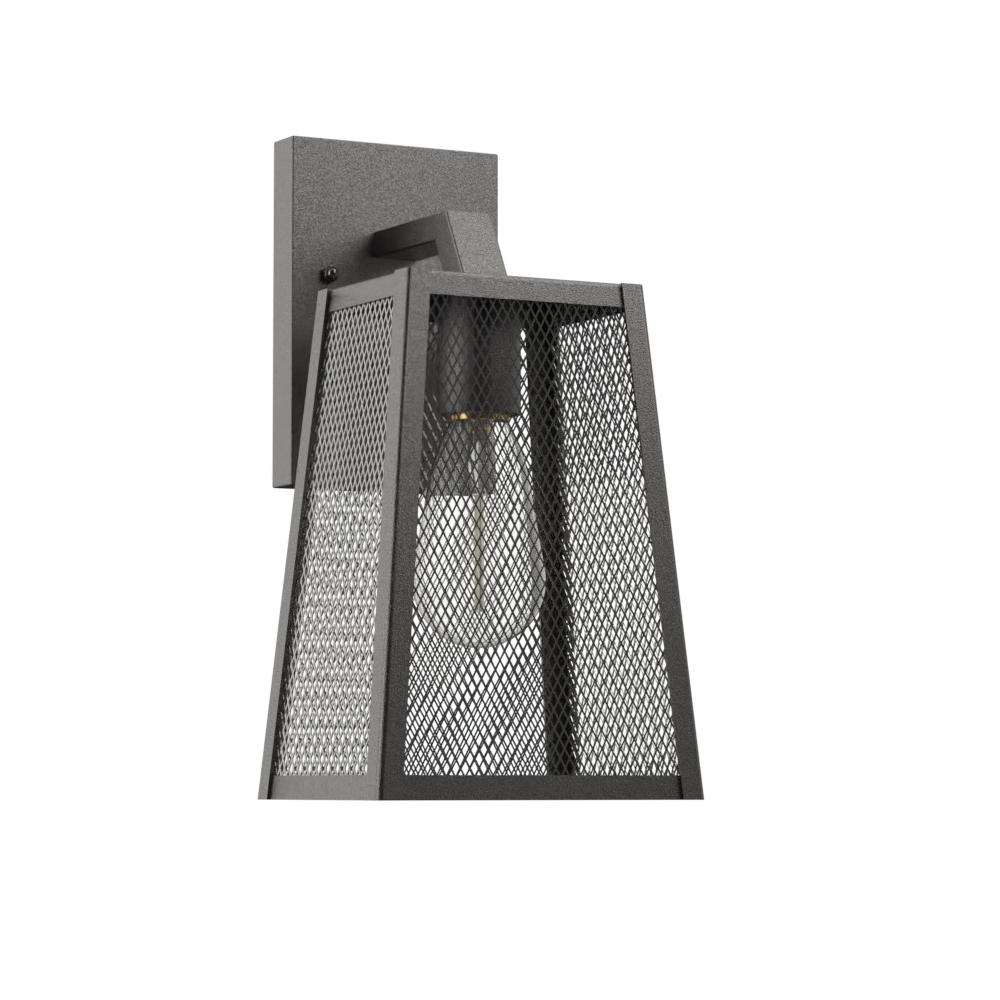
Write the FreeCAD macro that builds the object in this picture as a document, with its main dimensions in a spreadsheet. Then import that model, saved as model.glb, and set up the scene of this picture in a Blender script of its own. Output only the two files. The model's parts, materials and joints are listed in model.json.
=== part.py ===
# Outdoor wall sconce: a mesh lantern under a bent box arm, carried by a folded wall plate.
# Frame: +X to the right for someone facing the light, +Y into the wall, +Z up.
# Origin: on the wall, at the middle of the mounting strap.
import FreeCAD, Part
import math
import os
import Sketcher
from FreeCAD import Placement, Rotation, Vector

doc = FreeCAD.newDocument("wall_sconce")
sizes = doc.addObject("Spreadsheet::Sheet", "sizes")

# Driving dimensions in millimetres, angles in degrees, and counts.
DIMENSIONS = [
    ("plate_width", 116.0, "wall plate across"),
    ("plate_height", 174.0, "wall plate up and down"),
    ("plate_depth", 22.0, "wall plate front face from the wall"),
    ("plate_sheet", 1.2, "sheet of the wall plate"),
    ("plate_bend", 0.9, "outer bend round the front face"),
    ("plate_corner", 1.0, "rounded corner of the plate's outline"),
    ("plate_drop", 18.5, "middle of the plate below the strap"),
    ("strap_clearance", 6.8, "mounting strap to the inside of the plate at each end"),
    ("strap_width", 18.0, "mounting strap up and down"),
    ("strap_sheet", 2.0, "thickness of the strap"),
    ("slot_inset", 8.0, "middle of a box-screw slot from the stud beside it"),
    ("slot_length", 8.0, "slot end to end"),
    ("slot_width", 4.8, "slot across"),
    ("strap_hole", 10.6, "hole in the middle of the strap"),
    ("ground_offset", 14.0, "earth screw from the middle of the strap"),
    ("ground_head", 7.6, "earth screw head across flats"),
    ("ground_head_height", 3.0, "earth screw head"),
    ("stud_inset", 20.0, "stud from the edge of the plate"),
    ("stud_width", 4.0, "stud across its thread"),
    ("stud_reach", 4.6, "stud end past the plate's face"),
    ("stud_hole", 5.2, "hole in the plate round a stud"),
    ("locknut_flats", 7.0, "lock nut across flats"),
    ("locknut_height", 3.2, "lock nut thickness"),
    ("thread_clearance", 0.05, "round a thread in its own fixed nut"),
    ("running_clearance", 0.1, "round a thread whose nut comes off"),
    ("cap_flats", 7.9, "cap nut across flats"),
    ("cap_hex_height", 3.2, "hexagon of the cap nut"),
    ("cap_dome_width", 6.0, "dome of the cap nut across"),
    ("cap_dome_height", 4.2, "dome above the hexagon"),
    ("cap_bore_depth", 5.4, "blind thread in the cap nut"),
    ("arm_width", 25.0, "arm across"),
    ("arm_height", 13.4, "level part of the arm, up and down"),
    ("arm_wall", 1.5, "wall of the arm"),
    ("arm_bend", 1.2, "rounded long edges of the arm"),
    ("arm_rise", 17.0, "middle of the level part above the strap"),
    ("leg_depth", 17.0, "leaning part of the arm, square to its slope"),
    ("leg_lean", 28.5, "leaning part from the vertical"),
    ("wire_hole", 9.0, "wire hole from the plate into the arm"),
    ("foot_height", 3.0, "threaded plate inside the foot of the arm"),
    ("foot_play", 0.2, "round that plate"),
    ("reach", 110.0, "lantern axis from the wall"),
    ("roof_drop", 14.6, "lantern roof below the strap"),
    ("lantern_height", 245.0, "lantern from roof to lower edge"),
    ("top_width", 127.0, "lantern across at the roof"),
    ("top_depth", 97.0, "lantern front to back at the roof"),
    ("base_width", 173.0, "lantern across at the lower edge"),
    ("base_depth", 131.0, "lantern front to back at the lower edge"),
    ("post_leg", 12.5, "leg of a corner angle"),
    ("post_sheet", 1.5, "thickness of a corner angle"),
    ("post_bend", 2.8, "bend along a corner angle"),
    ("frame_sheet", 1.2, "sheet of the roof and rails"),
    ("rail_height", 11.5, "roof flange and lower rail"),
    ("rail_lip", 8.0, "inward lip of the lower rail"),
    ("roof_bend", 2.4, "bend between roof and flange"),
    ("mesh_sheet", 0.8, "thickness of the mesh"),
    ("mesh_across", 18.4, "mesh diamond, point to point across"),
    ("mesh_up", 33.1, "mesh diamond, point to point up and down"),
    ("mesh_strand", 1.6, "strand of the mesh"),
    ("mesh_play", 0.2, "mesh from the frame at its edges"),
    ("mesh_cover", 1.0, "open mesh hidden behind posts and rails"),
    ("nipple_width", 10.0, "threaded tube across"),
    ("nipple_bore", 7.0, "bore of the threaded tube"),
    ("nipple_nut_flats", 14.0, "nut on the threaded tube, across flats"),
    ("nipple_nut_height", 3.0, "nut on the threaded tube"),
    ("cup_width", 40.0, "socket cup across"),
    ("cup_sheet", 1.0, "sheet of the socket cup"),
    ("cup_end", 61.4, "mouth of the socket cup below the roof"),
    ("cup_shoulder", 1.5, "sloping shoulder of the socket cup"),
    ("bushing_width", 22.0, "threaded bushing on top of the lamp holder, across"),
    ("bushing_height", 3.0, "thickness of the bushing"),
    ("holder_width", 36.0, "lamp holder body across"),
    ("holder_waist", 30.0, "upper part of the lamp holder across"),
    ("holder_waist_height", 16.0, "upper part of the lamp holder"),
    ("holder_end", 56.0, "mouth of the lamp holder below the roof"),
    ("holder_floor", 29.4, "floor of the lamp holder well below the roof"),
    ("shell_sheet", 0.5, "sheet of the screw shell"),
    ("shell_height", 23.0, "screw shell of the lamp holder"),
    ("shell_clearance", 0.35, "screw shell round the bulb cap"),
    ("contact_width", 6.0, "centre contact across"),
    ("contact_length", 15.0, "centre contact end to end"),
    ("contact_sheet", 0.6, "sheet of the centre contact"),
    ("contact_gap", 0.3, "centre contact to the bulb's tip"),
    ("bulb_cap_width", 26.2, "bulb screw cap across"),
    ("bulb_cap_sheet", 0.4, "sheet of the screw cap"),
    ("bulb_cap_top", 36.0, "upper edge of the screw cap below the roof"),
    ("bulb_skirt_top", 57.5, "flare of the screw cap begins below the roof"),
    ("bulb_skirt_width", 29.2, "flare of the screw cap across"),
    ("bulb_skirt_end", 64.2, "lower edge of the flare below the roof"),
    ("bulb_top", 30.9, "tip of the bulb below the roof"),
    ("bulb_tip_width", 9.0, "tip contact across"),
    ("bulb_tip_height", 1.8, "tip contact"),
    ("bulb_ring_width", 19.0, "glass ring round the tip, at the screw cap"),
    ("bulb_width", 64.0, "bulb glass across"),
    ("bulb_neck_width", 27.6, "bulb glass inside the flare, across"),
    ("bulb_neck_top", 58.5, "bulb glass begins below the roof"),
    ("bulb_wide_level", 140.9, "widest level of the bulb below the roof"),
    ("bulb_shoulder", 93.9, "level where the bulb's neck passes into its taper, below the roof"),
    ("bulb_taper", 9.6, "slope of the bulb's taper from the vertical"),
    ("bulb_glass", 0.8, "thickness of the bulb glass"),
    ("stem_flare_height", 7.0, "flare of the glass stem"),
    ("stem_width", 11.0, "glass stem across"),
    ("stem_pinch_width", 6.4, "pinched end of the glass stem across"),
    ("stem_pinch_height", 6.0, "pinched end of the glass stem"),
    ("stem_end", 97.0, "lower end of the glass stem below the roof"),
    ("rod_width", 1.4, "glass rod across"),
    ("strip_width", 1.7, "light strip across"),
    ("strip_top", 100.0, "upper end of the light strips below the roof"),
    ("strip_length", 55.0, "light strip end to end"),
    ("strip_circle", 4.0, "circle through the light strips, across"),
    ("strip_count", 4.0, "light strips"),
    ("crown_width", 6.6, "crown that holds the ends of the strips, across"),
    ("crown_sheet", 0.6, "thickness of a crown"),
    ("overrun", 2.0, "how far a cut runs past its piece"),
]

for row, (name, number, meaning) in enumerate(DIMENSIONS, start=1):
    sizes.set("A%d" % row, name)
    sizes.set("B%d" % row, str(number))
    sizes.setAlias("B%d" % row, name)
    sizes.set("C%d" % row, meaning)
doc.recompute()


def size(name):
    return float(sizes.get(name))


# Bodies, sketches and features

def origin_plane(body, role):
    for feature in body.Origin.OriginFeatures:
        if feature.Role == role:
            return feature
    raise RuntimeError("no plane " + role)


def new_body(label, x="0", y="0", z="0", rotation=None):
    body = doc.addObject("PartDesign::Body", label)
    body.Label = label
    if rotation is not None:
        body.Placement = Placement(Vector(), rotation)
    body.setExpression("Placement.Base.x", x)
    body.setExpression("Placement.Base.y", y)
    body.setExpression("Placement.Base.z", z)
    return body


def new_sketch(body, role, offset=None):
    sketch = body.newObject("Sketcher::SketchObject", body.Name + "_sketch")
    sketch.AttachmentSupport = (origin_plane(body, role), "")
    sketch.MapMode = "FlatFace"
    if offset is not None:
        sketch.setExpression("AttachmentOffset.Base.z", offset)
    return sketch


def fix_point(sketch, geometry, vertex, x, y):
    for kind, axis, expression in (("DistanceX", -2, x), ("DistanceY", -1, y)):
        if expression == "0":
            sketch.addConstraint(Sketcher.Constraint("PointOnObject", geometry, vertex, axis))
            continue
        number = float(sketch.evalExpression(expression))
        index = sketch.addConstraint(Sketcher.Constraint(kind, -1, 1, geometry, vertex, number))
        sketch.setExpression("Constraints[%d]" % index, expression)


def draw_outline(sketch, corners):
    first = sketch.GeometryCount
    count = len(corners)
    points = []
    for x, y in corners:
        points.append(Vector(float(sketch.evalExpression(x)), float(sketch.evalExpression(y)), 0))
    for index in range(count):
        line = Part.LineSegment(points[index], points[(index + 1) % count])
        sketch.addGeometry(line, False)
    for index in range(count):
        following = first + (index + 1) % count
        sketch.addConstraint(Sketcher.Constraint("Coincident", first + index, 2, following, 1))
    for index, (x, y) in enumerate(corners):
        fix_point(sketch, first + index, 1, x, y)


def draw_circle(sketch, x, y, width):
    centre = Vector(float(sketch.evalExpression(x)), float(sketch.evalExpression(y)), 0)
    radius = float(sketch.evalExpression(width)) / 2
    circle = sketch.addGeometry(Part.Circle(centre, Vector(0, 0, 1), radius), False)
    fix_point(sketch, circle, 3, x, y)
    index = sketch.addConstraint(Sketcher.Constraint("Diameter", circle, 2 * radius))
    sketch.setExpression("Constraints[%d]" % index, width)


def draw_slot(sketch, x, y, length, width):
    middle_x = float(sketch.evalExpression(x))
    middle_y = float(sketch.evalExpression(y))
    radius = float(sketch.evalExpression(width)) / 2
    straight = float(sketch.evalExpression(length)) / 2 - radius
    ends = []
    for side, start in ((-1, math.pi / 2), (1, -math.pi / 2)):
        centre = Vector(middle_x + side * straight, middle_y, 0)
        circle = Part.Circle(centre, Vector(0, 0, 1), radius)
        ends.append(sketch.addGeometry(Part.ArcOfCircle(circle, start, start + math.pi), False))
    left, right = ends
    high = Part.LineSegment(Vector(middle_x + straight, middle_y + radius, 0),
                            Vector(middle_x - straight, middle_y + radius, 0))
    low = Part.LineSegment(Vector(middle_x - straight, middle_y - radius, 0),
                           Vector(middle_x + straight, middle_y - radius, 0))
    above = sketch.addGeometry(high, False)
    below = sketch.addGeometry(low, False)
    sketch.addConstraint(Sketcher.Constraint("Tangent", right, 2, above, 1))
    sketch.addConstraint(Sketcher.Constraint("Tangent", above, 2, left, 1))
    sketch.addConstraint(Sketcher.Constraint("Tangent", left, 2, below, 1))
    sketch.addConstraint(Sketcher.Constraint("Tangent", below, 2, right, 1))
    sketch.addConstraint(Sketcher.Constraint("Equal", left, right))
    across = sketch.addConstraint(Sketcher.Constraint("Diameter", left, 2 * radius))
    sketch.setExpression("Constraints[%d]" % across, width)
    half = "((%s) - (%s)) / 2" % (length, width)
    fix_point(sketch, left, 3, "%s - %s" % (x, half), y)
    fix_point(sketch, right, 3, "%s + %s" % (x, half), y)


def rectangle(half_x, half_y, x="0", y="0"):
    left = "%s - (%s)" % (x, half_x)
    right = "%s + (%s)" % (x, half_x)
    low = "%s - (%s)" % (y, half_y)
    high = "%s + (%s)" % (y, half_y)
    return [(left, low), (right, low), (right, high), (left, high)]


def hexagon(flats, x="0", y="0"):
    corners = []
    for step in range(6):
        angle = "%d * 60" % step
        radius = "%s / 2 / cos(30)" % flats
        corners.append(("%s + %s * cos(%s)" % (x, radius, angle), "%s + %s * sin(%s)" % (y, radius, angle)))
    return corners


def pad(body, sketch, length, both_ways=False, backwards=False):
    feature = body.newObject("PartDesign::Pad", body.Name + "_pad")
    feature.Profile = sketch
    feature.setExpression("Length", length)
    feature.Midplane = both_ways
    feature.Reversed = backwards
    doc.recompute()
    return feature


def pocket(body, sketch, length=None, both_ways=False, backwards=False):
    before = body.Shape.Volume
    feature = body.newObject("PartDesign::Pocket", body.Name + "_pocket")
    feature.Profile = sketch
    if length is None:
        feature.Type = "ThroughAll"
    else:
        feature.setExpression("Length", length)
    feature.Midplane = both_ways
    feature.Reversed = backwards
    doc.recompute()
    if not body.Shape.Volume < before:
        raise RuntimeError("a pocket cuts nothing in " + body.Label)
    return feature


def loft(body, kind, lower, upper):
    feature = body.newObject(kind, body.Name + "_loft")
    feature.Profile = lower
    feature.Sections = [upper]
    feature.Ruled = True
    doc.recompute()
    return feature


def revolve(body, corners):
    sketch = new_sketch(body, "XZ_Plane")
    draw_outline(sketch, corners)
    feature = body.newObject("PartDesign::Revolution", body.Name + "_revolution")
    feature.Profile = sketch
    feature.ReferenceAxis = (sketch, ["V_Axis"])
    feature.Angle = 360
    doc.recompute()
    return feature


def dress_edges(body, kind, base, length_name, length, wanted):
    names = []
    for index, edge in enumerate(base.Shape.Edges, start=1):
        if wanted(edge):
            names.append("Edge%d" % index)
    feature = body.newObject(kind, body.Name + "_edges")
    feature.Base = (base, names)
    feature.setExpression(length_name, length)
    doc.recompute()
    return feature


def round_edges(body, base, radius, wanted):
    return dress_edges(body, "PartDesign::Fillet", base, "Radius", radius, wanted)


def bevel_edges(body, base, width, wanted):
    return dress_edges(body, "PartDesign::Chamfer", base, "Size", width, wanted)


# Two levels count as one when they differ by less than this share of the overrun.
NEARNESS_SHARE = 1e-4


def is_near(first, second):
    return abs(first - second) < NEARNESS_SHARE * size("overrun")


def lies_at(edge, axis, level):
    box = edge.BoundBox
    low = (box.XMin, box.YMin, box.ZMin)[axis]
    high = (box.XMax, box.YMax, box.ZMax)[axis]
    return is_near(low, level) and is_near(high, level)


def runs_along(edge, axis):
    box = edge.BoundBox
    spans = [box.XLength, box.YLength, box.ZLength]
    span = spans.pop(axis)
    return is_near(max(spans), 0) and not is_near(span, 0)


# Places that several pieces share

ROOF = "-sizes.roof_drop"
AXIS = "-sizes.reach"
PLATE_FACE = "-sizes.plate_depth"
ARM_TOP = "(sizes.arm_rise + sizes.arm_height / 2)"
ARM_UNDER = "(sizes.arm_rise - sizes.arm_height / 2)"
STUD_PLACE = "(sizes.plate_width / 2 - sizes.stud_inset)"
LEG_HALF = "(sizes.leg_depth / 2 / cos(sizes.leg_lean))"
WALL_SLANT = "(sizes.arm_wall / cos(sizes.leg_lean))"
TO_LOCAL_Y = Rotation(Vector(1, 0, 0), 90)


def lantern_half(side, below):
    top = "sizes.top_%s / 2" % side
    spread = "(sizes.base_%s - sizes.top_%s) / 2 / sizes.lantern_height" % (side, side)
    return "(%s + %s * (%s))" % (top, spread, below)


def leg_line(sign, inset, height):
    foot = "%s %s (%s - %s)" % (AXIS, sign, LEG_HALF, inset)
    return "%s + ((%s) - (%s)) * tan(sizes.leg_lean)" % (foot, height, ROOF)


# Wall plate and its fastening

def make_back_plate():
    body = new_body("back_plate", z="-sizes.plate_drop")
    outer = new_sketch(body, "XZ_Plane")
    draw_outline(outer, rectangle("sizes.plate_width / 2", "sizes.plate_height / 2"))
    block = pad(body, outer, "sizes.plate_depth")
    block = round_edges(body, block, "sizes.plate_corner", lambda edge: runs_along(edge, 1))
    face = -size("plate_depth")
    round_edges(body, block, "sizes.plate_bend", lambda edge: lies_at(edge, 1, face))
    hollow = new_sketch(body, "XZ_Plane")
    inner_half = ("sizes.plate_width / 2 - sizes.plate_sheet", "sizes.plate_height / 2 - sizes.plate_sheet")
    draw_outline(hollow, rectangle(*inner_half))
    pocket(body, hollow, "sizes.plate_depth - sizes.plate_sheet", backwards=True)
    holes = new_sketch(body, "XZ_Plane")
    for sign in ("", "-"):
        draw_circle(holes, sign + STUD_PLACE, "sizes.plate_drop", "sizes.stud_hole")
    draw_circle(holes, "0", "sizes.plate_drop + sizes.arm_rise", "sizes.wire_hole")
    pocket(body, holes, backwards=True)
    return body


def make_mounting_strap():
    body = new_body("mounting_strap")
    outer = new_sketch(body, "XZ_Plane")
    half_length = "sizes.plate_width / 2 - sizes.plate_sheet - sizes.strap_clearance"
    draw_outline(outer, rectangle(half_length, "sizes.strap_width / 2"))
    pad(body, outer, "sizes.strap_sheet")
    holes = new_sketch(body, "XZ_Plane")
    draw_circle(holes, "0", "0", "sizes.strap_hole")
    thread = "sizes.stud_width + 2 * sizes.thread_clearance"
    for sign in ("", "-"):
        draw_circle(holes, sign + STUD_PLACE, "0", thread)
    draw_circle(holes, "sizes.ground_offset", "0", thread)
    pocket(body, holes, backwards=True)
    slots = new_sketch(body, "XZ_Plane")
    for sign in ("", "-"):
        place = "%s(%s - sizes.slot_inset)" % (sign, STUD_PLACE)
        draw_slot(slots, place, "0", "sizes.slot_length", "sizes.slot_width")
    pocket(body, slots, backwards=True)
    return body


def join_group(label, bodies):
    group = doc.addObject("Part::Compound", label)
    group.Label = label
    group.Links = bodies
    doc.recompute()
    return group


def make_mounting_studs():
    studs = []
    for side, sign in (("left", "-"), ("right", "")):
        body = new_body("stud_" + side, x=sign + STUD_PLACE, rotation=TO_LOCAL_Y)
        sketch = new_sketch(body, "XY_Plane")
        draw_circle(sketch, "0", "0", "sizes.stud_width")
        pad(body, sketch, "sizes.plate_depth + sizes.stud_reach")
        studs.append(body)
    return join_group("mounting_studs", studs)


def make_stud_locknuts():
    nuts = []
    for side, sign in (("left", "-"), ("right", "")):
        place = sign + STUD_PLACE
        body = new_body("locknut_" + side, x=place, y="-sizes.strap_sheet", rotation=TO_LOCAL_Y)
        sketch = new_sketch(body, "XY_Plane")
        draw_outline(sketch, hexagon("sizes.locknut_flats"))
        draw_circle(sketch, "0", "0", "sizes.stud_width + 2 * sizes.thread_clearance")
        pad(body, sketch, "sizes.locknut_height")
        nuts.append(body)
    return join_group("stud_locknuts", nuts)


def make_ground_screw():
    body = new_body("ground_screw", x="sizes.ground_offset", y="-sizes.strap_sheet", rotation=TO_LOCAL_Y)
    head = new_sketch(body, "XY_Plane")
    draw_outline(head, hexagon("sizes.ground_head"))
    pad(body, head, "sizes.ground_head_height")
    shank = new_sketch(body, "XY_Plane")
    draw_circle(shank, "0", "0", "sizes.stud_width")
    pad(body, shank, "sizes.strap_sheet", backwards=True)
    return body


def make_cap_nut(label, sign):
    place = sign + STUD_PLACE
    body = new_body(label, x=place, y=PLATE_FACE, rotation=TO_LOCAL_Y)
    base = new_sketch(body, "XY_Plane")
    draw_outline(base, hexagon("sizes.cap_flats"))
    pad(body, base, "sizes.cap_hex_height")
    dome_start = "sizes.cap_dome_height - sizes.cap_dome_width / 2"
    neck = new_sketch(body, "XY_Plane", "sizes.cap_hex_height")
    draw_circle(neck, "0", "0", "sizes.cap_dome_width")
    pad(body, neck, dome_start)
    dome = body.newObject("PartDesign::AdditiveSphere", body.Name + "_dome")
    dome.AttachmentSupport = (origin_plane(body, "XY_Plane"), "")
    dome.MapMode = "FlatFace"
    dome.setExpression("Radius", "sizes.cap_dome_width / 2")
    dome.setExpression("AttachmentOffset.Base.z", "sizes.cap_hex_height + " + dome_start)
    bore = new_sketch(body, "XY_Plane")
    draw_circle(bore, "0", "0", "sizes.stud_width + 2 * sizes.running_clearance")
    pocket(body, bore, "sizes.cap_bore_depth", backwards=True)
    return body


# Arm

def make_arm_tube():
    body = new_body("arm_tube")
    outer = new_sketch(body, "YZ_Plane")
    draw_outline(outer, [
        (PLATE_FACE, ARM_UNDER),
        (leg_line("+", "0", ARM_UNDER), ARM_UNDER),
        (leg_line("-", "0", ARM_TOP), ARM_TOP),
        (PLATE_FACE, ARM_TOP),
    ])
    block = pad(body, outer, "sizes.arm_width", both_ways=True)
    round_edges(body, block, "sizes.arm_bend", lambda edge: runs_along(edge, 1))
    inner = new_sketch(body, "YZ_Plane")
    low = ARM_UNDER + " + sizes.arm_wall"
    high = ARM_TOP + " - sizes.arm_wall"
    near = PLATE_FACE + " + sizes.overrun"
    far = leg_line("-", "0", ARM_TOP) + " - sizes.overrun"
    draw_outline(inner, [(near, low), (far, low), (far, high), (near, high)])
    pocket(body, inner, "sizes.arm_width - 2 * sizes.arm_wall", both_ways=True)
    return body


def make_arm_leg():
    body = new_body("arm_leg")
    outer = new_sketch(body, "YZ_Plane")
    draw_outline(outer, [
        (leg_line("+", "0", ROOF), ROOF),
        (leg_line("+", "0", ARM_UNDER), ARM_UNDER),
        (leg_line("-", "0", ARM_TOP), ARM_TOP),
        (leg_line("-", "0", ROOF), ROOF),
    ])
    block = pad(body, outer, "sizes.arm_width", both_ways=True)
    foot = -size("roof_drop")

    def is_slanted(edge):
        return is_near(edge.BoundBox.ZMin, foot) and not is_near(edge.BoundBox.ZMax, foot)

    round_edges(body, block, "sizes.arm_bend", is_slanted)
    inner = new_sketch(body, "YZ_Plane")
    low = ROOF + " - sizes.overrun"
    high = ARM_TOP + " + sizes.overrun"
    draw_outline(inner, [
        (leg_line("+", WALL_SLANT, low), low),
        (leg_line("+", WALL_SLANT, high), high),
        (leg_line("-", WALL_SLANT, high), high),
        (leg_line("-", WALL_SLANT, low), low),
    ])
    pocket(body, inner, "sizes.arm_width - 2 * sizes.arm_wall", both_ways=True)
    return body


def make_foot_plate():
    body = new_body("arm_foot_plate")
    inset = "(%s + sizes.foot_play)" % WALL_SLANT
    top = "%s + sizes.foot_height" % ROOF
    outer = new_sketch(body, "YZ_Plane")
    draw_outline(outer, [
        (leg_line("+", inset, ROOF), ROOF),
        (leg_line("+", inset, top), top),
        (leg_line("-", inset, top), top),
        (leg_line("-", inset, ROOF), ROOF),
    ])
    pad(body, outer, "sizes.arm_width - 2 * (sizes.arm_wall + sizes.foot_play)", both_ways=True)
    hole = new_sketch(body, "XY_Plane")
    draw_circle(hole, "0", AXIS, "sizes.nipple_width + 2 * sizes.thread_clearance")
    pocket(body, hole, both_ways=True)
    return body


# Lantern frame

def frame_sketch(body, half_x, half_y, below):
    sketch = new_sketch(body, "XY_Plane", "-(%s)" % below)
    draw_outline(sketch, rectangle(half_x, half_y))
    return sketch


def make_roof_pan():
    body = new_body("roof_pan", y=AXIS, z=ROOF)

    def section(inset, below):
        half_x = "%s - (%s)" % (lantern_half("width", below), inset)
        half_y = "%s - (%s)" % (lantern_half("depth", below), inset)
        return frame_sketch(body, half_x, half_y, below)

    outside = "sizes.post_sheet"
    inside = "sizes.post_sheet + sizes.frame_sheet"
    flange_end = section(outside, "sizes.rail_height")
    block = loft(body, "PartDesign::AdditiveLoft", section(outside, "0"), flange_end)
    round_edges(body, block, "sizes.roof_bend", lambda edge: lies_at(edge, 2, 0))
    below = "sizes.rail_height + sizes.overrun"
    loft(body, "PartDesign::SubtractiveLoft", section(inside, "sizes.frame_sheet"), section(inside, below))
    hole = new_sketch(body, "XY_Plane")
    draw_circle(hole, "0", "0", "sizes.nipple_width + 2 * sizes.thread_clearance")
    pocket(body, hole, "sizes.frame_sheet + sizes.overrun")
    return body


def make_corner_post(label, sign_x, sign_y):
    body = new_body(label, y=AXIS, z=ROOF)
    sections = []
    for below in ("0", "sizes.lantern_height"):
        half_x = lantern_half("width", below)
        half_y = lantern_half("depth", below)
        leg = "sizes.post_leg"
        sheet = "sizes.post_sheet"

        def point(inset_x, inset_y):
            x = "%s(%s - %s)" % (sign_x, half_x, inset_x)
            y = "%s(%s - %s)" % (sign_y, half_y, inset_y)
            return x, y

        sketch = new_sketch(body, "XY_Plane", "-(%s)" % below)
        draw_outline(sketch, [
            point("0", "0"), point(leg, "0"), point(leg, sheet),
            point(sheet, sheet), point(sheet, leg), point("0", leg),
        ])
        sections.append(sketch)
    block = loft(body, "PartDesign::AdditiveLoft", *sections)
    far_x = max(size("top_width"), size("base_width")) / 2
    far_y = max(size("top_depth"), size("base_depth")) / 2

    def is_outer_corner(edge):
        box = edge.BoundBox
        at_side = is_near(max(-box.XMin, box.XMax), far_x)
        at_front = is_near(max(-box.YMin, box.YMax), far_y)
        return at_side and at_front and is_near(box.ZLength, size("lantern_height"))

    round_edges(body, block, "sizes.post_bend", is_outer_corner)
    return body


def make_lower_rail(label, along, across, turn):
    body = new_body(label, y=AXIS, z=ROOF, rotation=turn)
    outer = "sizes.post_sheet"
    inner = "(sizes.post_sheet + sizes.frame_sheet)"
    lip = "(sizes.post_sheet + sizes.rail_lip)"

    def strip(below, near, far):
        length = lantern_half(along, below)
        reach = lantern_half(across, below)
        sketch = new_sketch(body, "XY_Plane", "-(%s)" % below)
        draw_outline(sketch, [
            ("-(%s - %s)" % (length, near), "-(%s - %s)" % (reach, near)),
            ("%s - %s" % (length, near), "-(%s - %s)" % (reach, near)),
            ("%s - %s" % (length, far), "-(%s - %s)" % (reach, far)),
            ("-(%s - %s)" % (length, far), "-(%s - %s)" % (reach, far)),
        ])
        return sketch

    top = "sizes.lantern_height - sizes.rail_height"
    lower = strip("sizes.lantern_height", outer, inner)
    loft(body, "PartDesign::AdditiveLoft", lower, strip(top, outer, inner))
    pad(body, strip("sizes.lantern_height", inner, lip), "sizes.frame_sheet")
    return body


# Mesh: staggered diamonds, cut where the posts and rails end them

def clip_to(corners, polygon):
    clipped = corners
    for index, start in enumerate(polygon):
        end = polygon[(index + 1) % len(polygon)]
        along = end.sub(start)

        def depth(point):
            return along.x * (point.y - start.y) - along.y * (point.x - start.x)

        kept = []
        for position, point in enumerate(clipped):
            previous = clipped[position - 1]
            here, before = depth(point), depth(previous)
            if (here > 0) != (before > 0):
                kept.append(previous.add(point.sub(previous).multiply(before / (before - here))))
            if here > 0:
                kept.append(point)
        clipped = kept
    return clipped


def polygon_face(corners):
    return Part.Face(Part.makePolygon(corners + corners[:1]))


def make_mesh_panel(label, along, across, turn, side_inset):
    height = size("lantern_height")
    sheet = size("mesh_sheet")
    play = size("mesh_play")
    lean = math.atan((size("base_" + across) - size("top_" + across)) / 2 / height)
    spread = (size("base_" + along) - size("top_" + along)) / 2 / height
    inset = size("post_sheet") + size("frame_sheet")

    def half_length(below):
        return size("top_" + along) / 2 + spread * below

    low = height - size("frame_sheet") - play
    high = size("frame_sheet") + play
    rise = (low - high) / math.cos(lean)

    def outline(cut_sides, cut_low, cut_high):
        bottom = low - cut_low
        top = high + cut_high
        up_bottom = cut_low / math.cos(lean)
        up_top = rise - cut_high / math.cos(lean)
        return [
            Vector(-half_length(bottom) + cut_sides, up_bottom, 0),
            Vector(half_length(bottom) - cut_sides, up_bottom, 0),
            Vector(half_length(top) - cut_sides, up_top, 0),
            Vector(-half_length(top) + cut_sides, up_top, 0),
        ]

    cover = size("mesh_cover")
    edge = size("rail_height") - size("frame_sheet") - play - cover
    window = outline(size("post_leg") - cover, edge, edge)
    wide, tall = size("mesh_across"), size("mesh_up")
    side = math.hypot(wide, tall)
    open_share = 1 - size("mesh_strand") * side / (wide * tall)
    smallest = size("mesh_strand") ** 2
    columns = math.ceil(half_length(low) / wide) + 1
    rows = math.ceil(rise / tall) + 1
    holes = []
    for row in range(-2 * rows, 2 * rows + 1):
        for column in range(-columns, columns + 1):
            middle = Vector((column + row % 2 / 2) * wide, (rise + row * tall) / 2, 0)
            point = Vector(wide / 2 * open_share, 0, 0)
            tip = Vector(0, tall / 2 * open_share, 0)
            diamond = [middle.sub(point), middle.sub(tip), middle.add(point), middle.add(tip)]
            hole = clip_to(diamond, window)
            if len(hole) > 2 and polygon_face(hole).Area > smallest:
                holes.append(Part.makePolygon(hole + hole[:1]))
    edges = outline(inset + side_inset + play, 0, 0)
    border = Part.makePolygon(edges + edges[:1])
    face = Part.makeFace([border] + holes, "Part::FaceMakerBullseye")
    print(label, len(holes), "gaps")
    panel = doc.addObject("Part::Feature", label)
    panel.Label = label
    panel.Shape = face.extrude(Vector(0, 0, -sheet))
    reach = size("top_" + across) / 2 - inset + math.tan(lean) * low
    tilt = Placement(Vector(0, -reach, -low), Rotation(Vector(1, 0, 0), 90 - math.degrees(lean)))
    swing = Placement(Vector(0, -size("reach"), -size("roof_drop")), turn)
    panel.Placement = swing.multiply(tilt)
    return panel


# Lamp holder inside its cup

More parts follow.
